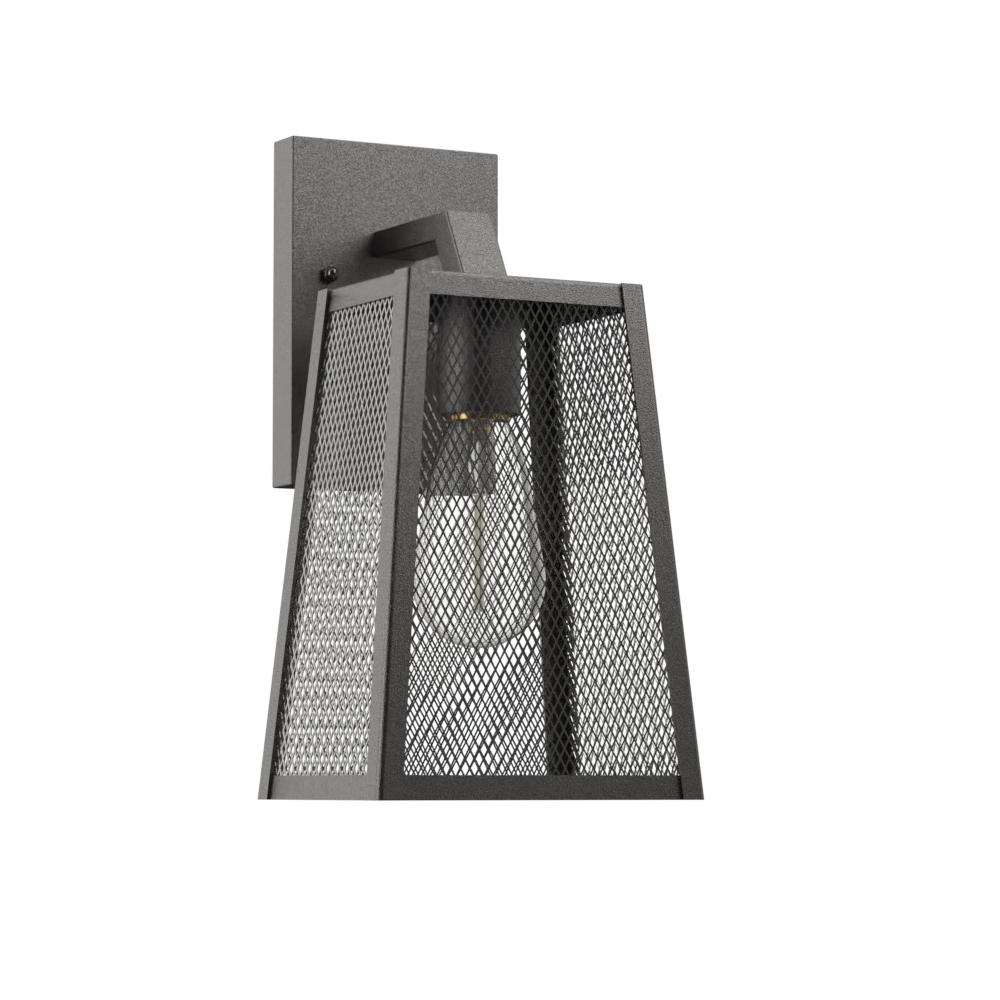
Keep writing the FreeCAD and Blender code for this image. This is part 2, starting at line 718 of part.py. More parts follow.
def make_socket_cup():
    body = new_body("socket_cup", y=AXIS, z=ROOF)
    sketch = new_sketch(body, "XY_Plane", "-sizes.frame_sheet")
    draw_circle(sketch, "0", "0", "sizes.cup_width")
    block = pad(body, sketch, "sizes.cup_end - sizes.frame_sheet", backwards=True)
    top = -size("frame_sheet")
    bevel_edges(body, block, "sizes.cup_shoulder", lambda edge: lies_at(edge, 2, top))
    hollow = new_sketch(body, "XY_Plane", "-sizes.cup_end")
    draw_circle(hollow, "0", "0", "sizes.cup_width - 2 * sizes.cup_sheet")
    pocket(body, hollow, "sizes.cup_end - sizes.frame_sheet - sizes.cup_sheet", backwards=True)
    hole = new_sketch(body, "XY_Plane")
    draw_circle(hole, "0", "0", "sizes.nipple_width + 2 * sizes.thread_clearance")
    pocket(body, hole, "sizes.frame_sheet + sizes.cup_sheet + sizes.overrun")
    return body


NUT_TOP = "(sizes.frame_sheet + sizes.cup_sheet)"
BUSHING_TOP = "(%s + sizes.nipple_nut_height)" % NUT_TOP
HOLDER_TOP = "(%s + sizes.bushing_height)" % BUSHING_TOP


def make_threaded_nipple():
    body = new_body("threaded_nipple", y=AXIS, z=ROOF)
    sketch = new_sketch(body, "XY_Plane", "sizes.foot_height")
    draw_circle(sketch, "0", "0", "sizes.nipple_width")
    draw_circle(sketch, "0", "0", "sizes.nipple_bore")
    length = "sizes.foot_height + " + HOLDER_TOP
    pad(body, sketch, length, backwards=True)
    return body


def make_nipple_nut():
    body = new_body("nipple_nut", y=AXIS, z=ROOF)
    sketch = new_sketch(body, "XY_Plane", "-" + NUT_TOP)
    draw_outline(sketch, hexagon("sizes.nipple_nut_flats"))
    draw_circle(sketch, "0", "0", "sizes.nipple_width + 2 * sizes.thread_clearance")
    pad(body, sketch, "sizes.nipple_nut_height", backwards=True)
    return body


def make_holder_bushing():
    body = new_body("holder_bushing", y=AXIS, z=ROOF)
    sketch = new_sketch(body, "XY_Plane", "-" + BUSHING_TOP)
    draw_circle(sketch, "0", "0", "sizes.bushing_width")
    draw_circle(sketch, "0", "0", "sizes.nipple_width + 2 * sizes.thread_clearance")
    pad(body, sketch, "sizes.bushing_height", backwards=True)
    return body


def make_lamp_holder():
    body = new_body("lamp_holder", y=AXIS, z=ROOF)
    waist = "%s + sizes.holder_waist_height" % HOLDER_TOP
    well = "sizes.bulb_cap_width + 2 * (sizes.shell_clearance + sizes.shell_sheet + sizes.thread_clearance)"
    revolve(body, [
        ("0", "-" + HOLDER_TOP),
        ("sizes.holder_waist / 2", "-" + HOLDER_TOP),
        ("sizes.holder_waist / 2", "-(%s)" % waist),
        ("sizes.holder_width / 2", "-(%s + (sizes.holder_width - sizes.holder_waist) / 2)" % waist),
        ("sizes.holder_width / 2", "-sizes.holder_end"),
        ("(%s) / 2" % well, "-sizes.holder_end"),
        ("(%s) / 2" % well, "-sizes.holder_floor"),
        ("0", "-sizes.holder_floor"),
    ])
    return body


def make_screw_shell():
    body = new_body("screw_shell", y=AXIS, z=ROOF)
    inner = "sizes.bulb_cap_width + 2 * sizes.shell_clearance"
    sketch = new_sketch(body, "XY_Plane", "-sizes.holder_floor")
    draw_circle(sketch, "0", "0", inner + " + 2 * sizes.shell_sheet")
    draw_circle(sketch, "0", "0", inner)
    pad(body, sketch, "sizes.shell_height", backwards=True)
    return body


def make_centre_contact():
    body = new_body("centre_contact", y=AXIS, z=ROOF)
    strip = new_sketch(body, "XY_Plane", "-sizes.holder_floor")
    draw_outline(strip, rectangle("sizes.contact_length / 2", "sizes.contact_width / 2"))
    pad(body, strip, "sizes.contact_sheet", backwards=True)
    button = new_sketch(body, "XY_Plane", "-sizes.holder_floor")
    draw_circle(button, "0", "0", "sizes.contact_width")
    pad(body, button, "sizes.bulb_top - sizes.contact_gap - sizes.holder_floor", backwards=True)
    return body


# Bulb

def make_bulb_cap():
    body = new_body("bulb_cap", y=AXIS, z=ROOF)
    sheet = "sizes.bulb_cap_sheet"
    shoulder = "(sizes.bulb_cap_width - sizes.bulb_ring_width) / 2"
    revolve(body, [
        ("0", "-sizes.bulb_cap_top"),
        ("sizes.bulb_ring_width / 2", "-sizes.bulb_cap_top"),
        ("sizes.bulb_cap_width / 2", "-(sizes.bulb_cap_top + %s)" % shoulder),
        ("sizes.bulb_cap_width / 2", "-sizes.bulb_skirt_top"),
        ("sizes.bulb_skirt_width / 2", "-sizes.bulb_neck_top"),
        ("sizes.bulb_skirt_width / 2", "-sizes.bulb_skirt_end"),
        ("sizes.bulb_skirt_width / 2 - " + sheet, "-sizes.bulb_skirt_end"),
        ("sizes.bulb_skirt_width / 2 - " + sheet, "-sizes.bulb_neck_top"),
        ("0", "-sizes.bulb_neck_top"),
    ])
    return body


def make_bulb_ring():
    body = new_body("bulb_ring", y=AXIS, z=ROOF)
    tip = "(sizes.bulb_top + sizes.bulb_tip_height)"
    revolve(body, [
        ("0", "-" + tip),
        ("sizes.bulb_tip_width / 2", "-" + tip),
        ("sizes.bulb_ring_width / 2", "-sizes.bulb_cap_top"),
        ("0", "-sizes.bulb_cap_top"),
    ])
    return body


def make_bulb_tip():
    body = new_body("bulb_tip", y=AXIS, z=ROOF)
    sketch = new_sketch(body, "XY_Plane", "-sizes.bulb_top")
    draw_circle(sketch, "0", "0", "sizes.bulb_tip_width")
    pad(body, sketch, "sizes.bulb_tip_height", backwards=True)
    return body


# Half outline of the glass: a neck that flares in two steps, a straight taper and a round end.
def glass_outline(inset):
    taper = math.radians(size("bulb_taper"))
    radius = size("bulb_width") / 2
    centre = Vector(0, 0, -size("bulb_wide_level"))

    def outward(slope):
        return Vector(math.cos(slope), 0, math.sin(slope))

    low = centre.add(outward(taper).multiply(radius))
    shoulder = -size("bulb_shoulder")
    high = Vector(low.x - (shoulder - low.z) * math.tan(taper), 0, shoulder)
    neck = Vector(size("bulb_neck_width") / 2, 0, -size("bulb_skirt_end"))
    chord = high.sub(neck)
    lean = math.atan2(chord.x, -chord.z)
    bulge = chord.Length / 2 * math.tan((lean - taper) / 2)
    middle = neck.add(high).multiply(1 / 2).add(outward(lean).multiply(bulge))
    down = -math.pi / 2
    points = []
    for point, slope in (
        (neck, 2 * lean - taper),
        (middle, lean),
        (high, taper),
        (low, taper),
        (centre.add(outward(down / 2).multiply(radius)), down / 2),
        (centre.add(outward(down).multiply(radius)), down),
    ):
        points.append(point.sub(outward(slope).multiply(inset)))
    top = Vector(neck.x - inset, 0, -size("bulb_neck_top"))
    return [
        Part.LineSegment(top, points[0]),
        Part.LineSegment(points[0], points[1]),
        Part.LineSegment(points[1], points[2]),
        Part.LineSegment(points[2], points[3]),
        Part.Arc(points[3], points[4], points[5]),
    ]


def make_bulb_glass():
    outer = glass_outline(0)
    inner = glass_outline(size("bulb_glass"))
    curves = outer + inner
    curves.append(Part.LineSegment(outer[0].StartPoint, inner[0].StartPoint))
    curves.append(Part.LineSegment(outer[-1].EndPoint, inner[-1].EndPoint))
    edges = [curve.toShape() for curve in curves]
    section = Part.Face(Part.Wire(Part.__sortEdges__(edges)))
    glass = doc.addObject("Part::Feature", "bulb_glass_shell")
    glass.Label = "bulb_glass"
    glass.Shape = section.revolve(Vector(), Vector(0, 0, 1), 360)
    glass.Placement = Placement(Vector(0, -size("reach"), -size("roof_drop")), Rotation())
    return glass


def make_bulb_stem():
    body = new_body("bulb_stem", y=AXIS, z=ROOF)
    top = "sizes.bulb_neck_top"
    revolve(body, [
        ("0", "-" + top),
        ("sizes.bulb_neck_width / 2 - sizes.bulb_glass - sizes.thread_clearance", "-" + top),
        ("sizes.stem_width / 2", "-(%s + sizes.stem_flare_height)" % top),
        ("sizes.stem_width / 2", "-(sizes.stem_end - sizes.stem_pinch_height)"),
        ("sizes.stem_pinch_width / 2", "-sizes.stem_end"),
        ("0", "-sizes.stem_end"),
    ])
    return body


def make_strip_carrier():
    body = new_body("strip_carrier", y=AXIS, z=ROOF)
    rod = new_sketch(body, "XY_Plane", "-sizes.stem_end")
    draw_circle(rod, "0", "0", "sizes.rod_width")
    lower = "sizes.strip_top + sizes.strip_length + sizes.crown_sheet"
    pad(body, rod, "%s - sizes.stem_end" % lower, backwards=True)
    for level in ("sizes.strip_top", lower):
        crown = new_sketch(body, "XY_Plane", "-(%s)" % level)
        draw_outline(crown, hexagon("sizes.crown_width"))
        pad(body, crown, "sizes.crown_sheet")
    return body


def make_light_strips():
    strips = []
    count = int(size("strip_count"))
    for index in range(count):
        turn = 360 / count * (index + 1 / 2)
        x = "sizes.strip_circle / 2 * cos(%s)" % turn
        y = "%s + sizes.strip_circle / 2 * sin(%s)" % (AXIS, turn)
        strip = new_body("strip_%d" % index, x=x, y=y, z=ROOF)
        sketch = new_sketch(strip, "XY_Plane", "-sizes.strip_top")
        draw_outline(sketch, hexagon("sizes.strip_width"))
        pad(strip, sketch, "sizes.strip_length", backwards=True)
        strips.append(strip)
    return join_group("light_strips", strips)


parts = [
    make_back_plate(),
    make_mounting_strap(),
    make_mounting_studs(),
    make_stud_locknuts(),
    make_ground_screw(),
    make_cap_nut("cap_nut_left", "-"),
    make_cap_nut("cap_nut_right", ""),
    make_arm_tube(),
    make_arm_leg(),
    make_foot_plate(),
    make_roof_pan(),
]
for front_or_rear, sign_y in (("front", "-"), ("rear", "")):
    for side, sign_x in (("left", "-"), ("right", "")):
        parts.append(make_corner_post("post_%s_%s" % (front_or_rear, side), sign_x, sign_y))
# Each side of the lantern: its lengths along and across, and its share of a full turn.
SIDE_SHARES = [("front", "width", "depth", 0), ("rear", "width", "depth", 1 / 2),
               ("left", "depth", "width", 3 / 4), ("right", "depth", "width", 1 / 4)]
for side, along, across, share in SIDE_SHARES:
    turn = Rotation(Vector(0, 0, 1), math.degrees(math.tau * share))
    parts.append(make_lower_rail("rail_" + side, along, across, turn))
    tucked = 0 if along == "width" else size("mesh_sheet")
    parts.append(make_mesh_panel("mesh_" + side, along, across, turn, tucked))
parts += [
    make_threaded_nipple(),
    make_nipple_nut(),
    make_socket_cup(),
    make_holder_bushing(),
    make_lamp_holder(),
    make_screw_shell(),
    make_centre_contact(),
    make_bulb_cap(),
    make_bulb_ring(),
    make_bulb_tip(),
    make_bulb_glass(),
    make_bulb_stem(),
    make_strip_carrier(),
    make_light_strips(),
]

doc.recompute()
for thing in doc.Objects:
    if "Invalid" in thing.State or "Error" in thing.State:
        raise RuntimeError("%s is not built" % thing.Label)
for piece in parts:
    if piece.Shape.isNull() or not piece.Shape.isValid():
        raise RuntimeError("%s has no valid shape" % piece.Label)

os.makedirs("parts", exist_ok=True)
for piece in parts:
    piece.Shape.exportStep("parts/%s.step" % piece.Label)
print("%d pieces written" % len(parts))
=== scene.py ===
# Outdoor wall sconce, dressed: powder coat, expanded-metal mesh, glass bulb, fastenings, light and camera.
# Metres, in the model's own frame: +X to the right for someone facing the light, +Y into the wall, +Z up.
import bmesh
import bpy
import json
import math
from mathutils import Matrix, Vector


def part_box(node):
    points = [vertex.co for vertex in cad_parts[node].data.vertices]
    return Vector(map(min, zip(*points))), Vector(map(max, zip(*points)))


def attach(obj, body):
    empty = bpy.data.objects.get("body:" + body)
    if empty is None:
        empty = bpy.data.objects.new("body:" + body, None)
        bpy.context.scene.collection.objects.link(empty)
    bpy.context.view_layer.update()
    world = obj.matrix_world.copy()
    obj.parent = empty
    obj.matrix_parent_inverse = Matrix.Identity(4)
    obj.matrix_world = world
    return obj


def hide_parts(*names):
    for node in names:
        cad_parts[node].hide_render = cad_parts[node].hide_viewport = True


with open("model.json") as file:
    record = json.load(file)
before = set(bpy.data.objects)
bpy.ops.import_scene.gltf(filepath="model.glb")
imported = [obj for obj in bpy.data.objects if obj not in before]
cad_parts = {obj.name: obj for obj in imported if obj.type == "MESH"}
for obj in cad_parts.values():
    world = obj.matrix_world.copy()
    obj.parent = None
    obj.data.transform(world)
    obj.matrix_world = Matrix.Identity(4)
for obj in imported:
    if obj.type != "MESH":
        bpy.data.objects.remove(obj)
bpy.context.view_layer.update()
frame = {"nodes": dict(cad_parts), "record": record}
scene = bpy.context.scene
MM = 0.001

# Camera, at the photograph's viewing angle
CAMERA_PLACE = Vector((-0.8286, -1.6637, -0.2522))
CAMERA_YAW = math.radians(-28.396)
CAMERA_PITCH = math.radians(4.400)
CAMERA_LENS = 132.92
CAMERA_SENSOR = 36.0

# World: an even light, and for gloss a grade along each axis, from the dim direction to the white one
WHITE = (1.0, 1.0, 1.0, 1.0)
AMBIENT_STRENGTH = 0.7
DIM_STRENGTH = 0.02
DIM_TO_WHITE = {"X": (0.30, -0.15), "Y": (-0.45, 0.15), "Z": (-0.5, -0.12)}
SIDE_FILL = 0.42
FILL_START = 0.42
FILL_END = 0.60

# Floor
FLOOR_LEVEL = -0.6
FLOOR_REACH = 1.5
FLOOR_PATCH = 0.4
FLOOR_GREYS = ((0.86, 0.86, 0.86), (0.90, 0.90, 0.90))
FLOOR_IN_GLOSS = (0.05, 0.05, 0.05, 1.0)
FLOOR_ROUGHNESS = 0.9

# Expanded metal: diamonds of one slit sheet, stretched and twisted. The strands stop short of the panel's
# border, and a scrap under the shortest share of a strand is left out.
DIAMOND_ACROSS = 5.0 * MM
DIAMOND_UP = 9.0 * MM
STRAND_WIDTH = 0.78 * MM
STRAND_THICKNESS = 0.55 * MM
STRAND_TILT = math.radians(24)
LEFT_TILT = math.radians(-10)
RIGHT_TILT = math.radians(2)
BOND_WIDTH = 1.15 * MM
BOND_LENGTH = 2.0 * MM
BORDER_GAP = 0.6 * MM
SIDE_GAP = 6.5 * MM
SHORTEST_SHARE = 0.05

# Bulb: levels are below the roof's top
ROOF_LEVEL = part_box("roof_pan")[1].z
GLASS_SHEET = 0.8 * MM
NECK_RADIUS = 13.8 * MM
NECK_END = 64.2 * MM
SHOULDER_LEVEL = 93.9 * MM
TAPER = math.radians(9.6)
THREAD_PITCH = 3.62 * MM
THREAD_DEPTH = 0.75 * MM
THREAD_END = 57.5 * MM
SKIRT_START = 58.5 * MM

# Edge of the painted pieces. The arm's two tubes meet in a mitre, so theirs stay as they are.
COAT_EDGE = 0.35 * MM
COAT_EDGE_ANGLE = math.radians(30)
WELD_REACH = 0.001 * MM
PLAIN_EDGED = ("arm_tube", "arm_leg")

# Values of a noise between which a colour or a roughness changes
NOISE_LOW = 0.3
NOISE_HIGH = 0.7


# Node graphs

class Graph:
    """A node tree and short ways to add to it."""

    def __init__(self, tree):
        self.tree = tree

    def node(self, kind, **inputs):
        made = self.tree.nodes.new(kind)
        for name, value in inputs.items():
            self.feed(made.inputs[name.replace("_", " ")], value)
        return made

    def feed(self, socket, value):
        if isinstance(value, bpy.types.NodeSocket):
            self.tree.links.new(value, socket)
        else:
            socket.default_value = value

    def spread(self, share, low, high, start=NOISE_LOW, end=NOISE_HIGH, smooth=False):
        """A number that runs from low to high as the share runs from start to end."""
        made = self.node("ShaderNodeMapRange", Value=share,
                         From_Min=start, From_Max=end, To_Min=low, To_Max=high)
        if smooth:
            made.interpolation_type = "SMOOTHSTEP"
        return made.outputs["Result"]

    def combine(self, operation, first, second):
        made = self.node("ShaderNodeMath")
        made.operation = operation
        self.feed(made.inputs[0], first)
        self.feed(made.inputs[1], second)
        return made.outputs["Value"]

    def choose(self, share, first, second):
        """A number: the first where the share is 0, the second where it is 1."""
        return self.node("ShaderNodeMix", Factor=share, A=first, B=second).outputs["Result"]


class Paint(Graph):
    """One node material: a Principled shader and the nodes that feed it."""

    def __init__(self, name):
        self.material = bpy.data.materials.new(name)
        self.material.use_nodes = True
        super().__init__(self.material.node_tree)
        self.shader = self.tree.nodes["Principled BSDF"]
        self.place = self.node("ShaderNodeTexCoord").outputs["Object"]

    def fixed(self, **values):
        for name, value in values.items():
            self.shader.inputs[name.replace("_", " ")].default_value = value

    def noise(self, grain, detail=3.0, roughness=0.55):
        """Noise whose patches are about one grain long."""
        made = self.node("ShaderNodeTexNoise", Vector=self.place, Scale=1 / grain,
                         Detail=detail, Roughness=roughness)
        return made.outputs["Fac"]

    def fade(self, share, first, second, start=NOISE_LOW, end=NOISE_HIGH):
        """A colour that runs from the first to the second as the share runs from start to end."""
        made = self.node("ShaderNodeValToRGB", Fac=share)
        for element, position, colour in zip(made.color_ramp.elements, (start, end), (first, second)):
            element.position = position
            element.color = (*colour, 1.0)
        return made.outputs["Color"]

    def blend(self, share, first, second, kind="MIX"):
        made = self.node("ShaderNodeMix")
        made.data_type = "RGBA"
        made.blend_type = kind
        self.feed(made.inputs["Factor"], share)
        self.feed(made.inputs["A"], first)
        self.feed(made.inputs["B"], second)
        return made.outputs["Result"]

    def bump(self, height, distance, strength=1.0):
        made = self.node("ShaderNodeBump", Height=height, Distance=distance, Strength=strength)
        self.feed(self.shader.inputs["Normal"], made.outputs["Normal"])

    def finish(self, colour, roughness):
        self.feed(self.shader.inputs["Base Color"], colour)
        self.feed(self.shader.inputs["Roughness"], roughness)
        return self.material


# Finishes

def linear(red, green, blue):
    """Scene colour of an sRGB colour given in steps of 0 to 255."""
    channels = []
    for step in (red, green, blue):
        value = step / 255
        channels.append(value / 12.92 if value <= 0.04045 else ((value + 0.055) / 1.055) ** 2.4)
    return tuple(channels)


def coat_material(name, dark, light, grain, relief, roughness, metallic=1.0):
    """Dark metallic powder coat: a fine orange-peel grain under a satin gloss."""
    paint = Paint(name)
    paint.fixed(Metallic=metallic)
    speckle = paint.noise(grain, roughness=0.7)
    cloud = paint.noise(grain=38 * MM, detail=2.0)
    colour = paint.fade(speckle, dark, light, start=0.36, end=0.64)
    shade = paint.fade(cloud, (0.95, 0.95, 0.95), (1.0, 1.0, 1.0))
    colour = paint.blend(1.0, colour, shade, "MULTIPLY")
    paint.bump(speckle, relief)
    return paint.finish(colour, paint.spread(cloud, *roughness))


def clouded_material(name, patch, dark, light, roughness, detail=3.0,
                     grain=None, depth=0.0, strength=1.0, **fixed):
    """A finish whose colour and gloss drift from patch to patch. Without a grain, its relief follows them."""
    paint = Paint(name)
    paint.fixed(**fixed)
    cloud = paint.noise(patch, detail)
    colour = paint.fade(cloud, dark, light)
    if depth:
        paint.bump(paint.noise(grain) if grain else cloud, depth, strength)
    return paint.finish(colour, paint.spread(cloud, *roughness))


def zinc_material():
    return clouded_material("zinc_plate", patch=9 * MM, detail=4.0, dark=(0.55, 0.56, 0.56),
                            light=(0.70, 0.70, 0.68), roughness=(0.26, 0.42),
                            grain=0.5 * MM, depth=0.02 * MM, strength=0.4, Metallic=1.0)


def green_material():
    return clouded_material("green_screw", patch=2 * MM, dark=(0.03, 0.20, 0.06),
                            light=(0.05, 0.30, 0.10), roughness=(0.30, 0.42),
                            grain=0.4 * MM, depth=0.02 * MM, strength=0.4, Metallic=0.7)


def porcelain_material():
    return clouded_material("glazed_porcelain", patch=14 * MM, dark=(0.78, 0.77, 0.73),
                            light=(0.86, 0.85, 0.82), roughness=(0.20, 0.30),
                            grain=3 * MM, depth=0.03 * MM, strength=0.3, Coat_Weight=0.6, Coat_Roughness=0.06)


def brass_material(name, roughness):
    return clouded_material(name, patch=6 * MM, detail=4.0, dark=(0.62, 0.42, 0.16),
                            light=(0.80, 0.58, 0.27), roughness=roughness,
                            grain=0.6 * MM, depth=0.015 * MM, strength=0.3, Metallic=1.0)


def solder_material():
    return clouded_material("solder", patch=1.5 * MM, detail=4.0, dark=(0.38, 0.38, 0.37),
                            light=(0.58, 0.57, 0.55), roughness=(0.35, 0.5),
                            depth=0.12 * MM, strength=0.5, Metallic=1.0)


def insulator_material():
    return clouded_material("black_glass", patch=2 * MM, dark=(0.006, 0.006, 0.008),
                            light=(0.014, 0.013, 0.016), roughness=(0.12, 0.22),
                            grain=1.2 * MM, depth=0.03 * MM, strength=0.3)


def wire_material():
    return clouded_material("carrier_wire", patch=1.5 * MM, dark=(0.36, 0.35, 0.33),
                            light=(0.50, 0.49, 0.47), roughness=(0.25, 0.4), Metallic=1.0)


def strip_material():
    return clouded_material("light_strip", patch=0.9 * MM, detail=2.0, dark=linear(248, 243, 222),
                            light=linear(255, 253, 240), roughness=(0.45, 0.6),
                            depth=0.06 * MM, strength=0.5, Subsurface_Weight=0.15, Subsurface_Scale=1.0 * MM)


def glass_material(name, clear, edge, roughness):
    """Clear glass that takes on its tint where it is seen edge on."""
    paint = Paint(name)
    paint.fixed(Transmission_Weight=1.0, IOR=1.46)
    facing = paint.node("ShaderNodeLayerWeight", Blend=0.35).outputs["Facing"]
    tint = paint.fade(facing, clear, edge, start=0.40, end=0.95)
    smear = paint.noise(grain=30 * MM, detail=1.0)
    return paint.finish(tint, paint.spread(smear, low=0.0, high=roughness))


COAT_DARK = (0.17, 0.162, 0.156)
COAT_LIGHT = (0.30, 0.289, 0.278)
# The mesh wears the same bronze coat as the flat pieces, painted lighter: a painted sheen, so that its
# strands read brighter
MESH_SHEEN_DARK = (0.45, 0.44, 0.43)
MESH_SHEEN_LIGHT = (0.56, 0.55, 0.535)
GLASS_CLEAR = (0.995, 0.99, 0.975)
GLASS_EDGE = (0.80, 0.73, 0.52)
STEM_CLEAR = (0.97, 0.97, 0.96)
STEM_EDGE = (0.75, 0.73, 0.68)

MATERIALS = {
    "coated_steel": coat_material("bronze_coat", COAT_DARK, COAT_LIGHT,
                                  grain=0.7 * MM, relief=0.28 * MM, roughness=(0.20, 0.24)),
    # Painted sheen: a lighter copy of the bronze coat for the mesh strands
    "coated_mesh": coat_material("bronze_coat_mesh_painted_sheen", MESH_SHEEN_DARK, MESH_SHEEN_LIGHT,
                                 grain=0.9 * MM, relief=0.02 * MM, roughness=(0.10, 0.14), metallic=0.92),
    "coated_nut": coat_material("bronze_coat_nut", COAT_DARK, COAT_LIGHT,
                                grain=0.8 * MM, relief=0.03 * MM, roughness=(0.14, 0.18)),
    "zinc_plated_steel": zinc_material(),
    "green_screw": green_material(),
    "porcelain": porcelain_material(),
    "contact_brass": brass_material("contact_brass", (0.25, 0.38)),
    "bulb_brass": brass_material("bulb_brass", (0.18, 0.28)),
    "solder_tip": solder_material(),
    "bulb_insulator": insulator_material(),
    "bulb_glass": glass_material("tinted_glass", GLASS_CLEAR, GLASS_EDGE, 0.002),
    "stem_glass": glass_material("stem_glass", STEM_CLEAR, STEM_EDGE, 0.02),
    "carrier_wire": wire_material(),
    "light_strip": strip_material(),
}
SLOTS = {part["node"]: part["material_slot"] for part in frame["record"]["subparts"]}
BODIES = {node: body for body, nodes in frame["record"]["behaviour"]["bodies"].items() for node in nodes}


# Pieces

def soften_edges(piece):
    weld = piece.modifiers.new("joined", "WELD")
    weld.merge_threshold = WELD_REACH
    edge = piece.modifiers.new("soft_edges", "BEVEL")
    edge.width = COAT_EDGE
    edge.segments = 2
    edge.limit_method = "ANGLE"
    edge.angle_limit = COAT_EDGE_ANGLE
    edge.harden_normals = True


def dress_nodes():
    """Each model node gets its finish, and the painted ones soft edges."""
    for name, piece in frame["nodes"].items():
        piece.data.materials.clear()
        piece.data.materials.append(MATERIALS[SLOTS[name]])
        if SLOTS[name] == "coated_steel" and name not in PLAIN_EDGED:
            soften_edges(piece)


def stand_for(node, suffix, vertices, faces, smooth_angle=None, finish=None):
    """A new piece in place of a model node, on the same body and with its finish unless another is named."""
    mesh = bpy.data.meshes.new(node + suffix)
    mesh.from_pydata(vertices, [], faces)
    shape = bmesh.new()
    shape.from_mesh(mesh)
    bmesh.ops.recalc_face_normals(shape, faces=shape.faces)
    shape.to_mesh(mesh)
    shape.free()
    piece = bpy.data.objects.new(node + suffix, mesh)
    scene.collection.objects.link(piece)
    mesh.materials.append(MATERIALS[finish or SLOTS[node]])
    if smooth_angle is not None:
        mesh.shade_smooth()
        mesh.set_sharp_from_angle(angle=smooth_angle)
    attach(piece, BODIES[node])
    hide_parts(node)


# Mesh panels

def panel_face(node, outward):
    """Turn, origin and sizes of a mesh panel's outer face. The origin is the middle of its lower edge."""
    mesh = frame["nodes"][node].data
    facing = 0.9
    outer = [face for face in mesh.polygons if face.normal.dot(outward) > facing]
    normal = outer[0].normal.copy()
    points = [mesh.vertices[index].co for face in outer for index in face.vertices]
    along = Vector((0, 0, 1)).cross(normal).normalized()
    rise = normal.cross(along)
    low = min(point.z for point in points)
    high = max(point.z for point in points)
    near = 0.01 * MM
    lower = [point.dot(along) for point in points if point.z < low + near]
    upper = [point.dot(along) for point in points if point.z > high - near]
    base = next(point for point in points if point.z < low + near)
    middle = base + along * ((min(lower) + max(lower)) / 2 - base.dot(along))
    height = (high - low) / rise.z
    half_low = (max(lower) - min(lower)) / 2
    half_high = (max(upper) - min(upper)) / 2
    return Matrix((along, rise, normal)).transposed(), middle, height, half_low, half_high


def clip_strand(start, end, height, half_low, half_high):
    """The stretch of a strand inside the panel, or nothing."""
    narrowing = (half_low - half_high) / height
    step = end - start
    first, last = 0.0, 1.0
    no_change = 1e-12

    def limit(value, change, bound):
        nonlocal first, last
        if abs(change) < no_change:
            if value > bound:
                last = -1.0
            return
        reach = (bound - value) / change
        if change > 0:
            last = min(last, reach)
        else:
            first = max(first, reach)

    limit(-start.y, -step.y, -BORDER_GAP)
    limit(start.y, step.y, height - BORDER_GAP)
    for side in (-1, 1):
        value = side * start.x + narrowing * start.y
        limit(value, side * step.x + narrowing * step.y, half_low - SIDE_GAP)
    if last - first < SHORTEST_SHARE:
        return None
    return start + step * first, start + step * last


def add_bar(vertices, faces, start, end, width, tilt):
    """A flat bar from start to end, just under the panel's face, turned about its own length by the tilt."""
    along = (end - start).normalized()
    across = Vector((along.y, -along.x, 0))
    outward = Vector((0, 0, 1))
    broad = (across * math.cos(tilt) + outward * math.sin(tilt)) * width / 2
    thin = (outward * math.cos(tilt) - across * math.sin(tilt)) * STRAND_THICKNESS / 2
    first = len(vertices)
    for point in (start, end):
        for side, face in ((-1, -1), (1, -1), (1, 1), (-1, 1)):
            vertices.append(point.to_3d() - outward * STRAND_WIDTH / 2 + broad * side + thin * face)
    faces.append((first, first + 1, first + 2, first + 3))
    faces.append((first + 4, first + 5, first + 6, first + 7))
    for corner in range(4):
        following = (corner + 1) % 4
        faces.append((first + corner, first + following, first + 4 + following, first + 4 + corner))


def make_mesh_panel(node, outward, tilt):
    turn, middle, *sizes = panel_face(node, outward)
    height, half_low, _ = sizes
    vertices, faces = [], []
    rows = math.ceil(height / (DIAMOND_UP / 2)) + 1
    columns = math.ceil(half_low / DIAMOND_ACROSS) + 1
    half_bond = Vector((0, BOND_LENGTH / 2, 0))
    for row in range(-1, rows):
        for column in range(-columns, columns + 1):
            knot = Vector(((column + row % 2 / 2) * DIAMOND_ACROSS, row * DIAMOND_UP / 2, 0))
            bars = []
            for side in (-1, 1):
                end = knot + Vector((side * DIAMOND_ACROSS / 2, DIAMOND_UP / 2, 0))
                bars.append((knot, end, STRAND_WIDTH))
            bars.append((knot - half_bond, knot + half_bond, BOND_WIDTH))
            for start, end, width in bars:
                stretch = clip_strand(start, end, *sizes)
                if stretch:
                    add_bar(vertices, faces, *stretch, width, tilt)
    placed = [middle + turn @ vertex for vertex in vertices]
    stand_for(node, "_strands", placed, faces)


# Turned pieces

def turned(profile, segments, shape=None):
    """A surface turned about the Z axis, from points of (radius, height). A shape may change the radius."""
    vertices, faces, rings = [], [], []
    for radius, height in profile:
        if radius == 0:
            rings.append([len(vertices)] * segments)
            vertices.append(Vector((0, 0, height)))
            continue
        rings.append(list(range(len(vertices), len(vertices) + segments)))
        for step in range(segments):
            angle = math.tau * step / segments
            reach = shape(angle, radius, height) if shape else radius
            vertices.append(Vector((reach * math.cos(angle), reach * math.sin(angle), height)))
    for ring, following in zip(rings, rings[1:]):
        for step in range(segments):
            after = (step + 1) % segments
            corners = (ring[step], ring[after], following[after], following[step])
            corners = tuple(dict.fromkeys(corners))
            if len(corners) > 2:
                faces.append(corners)
    return vertices, faces


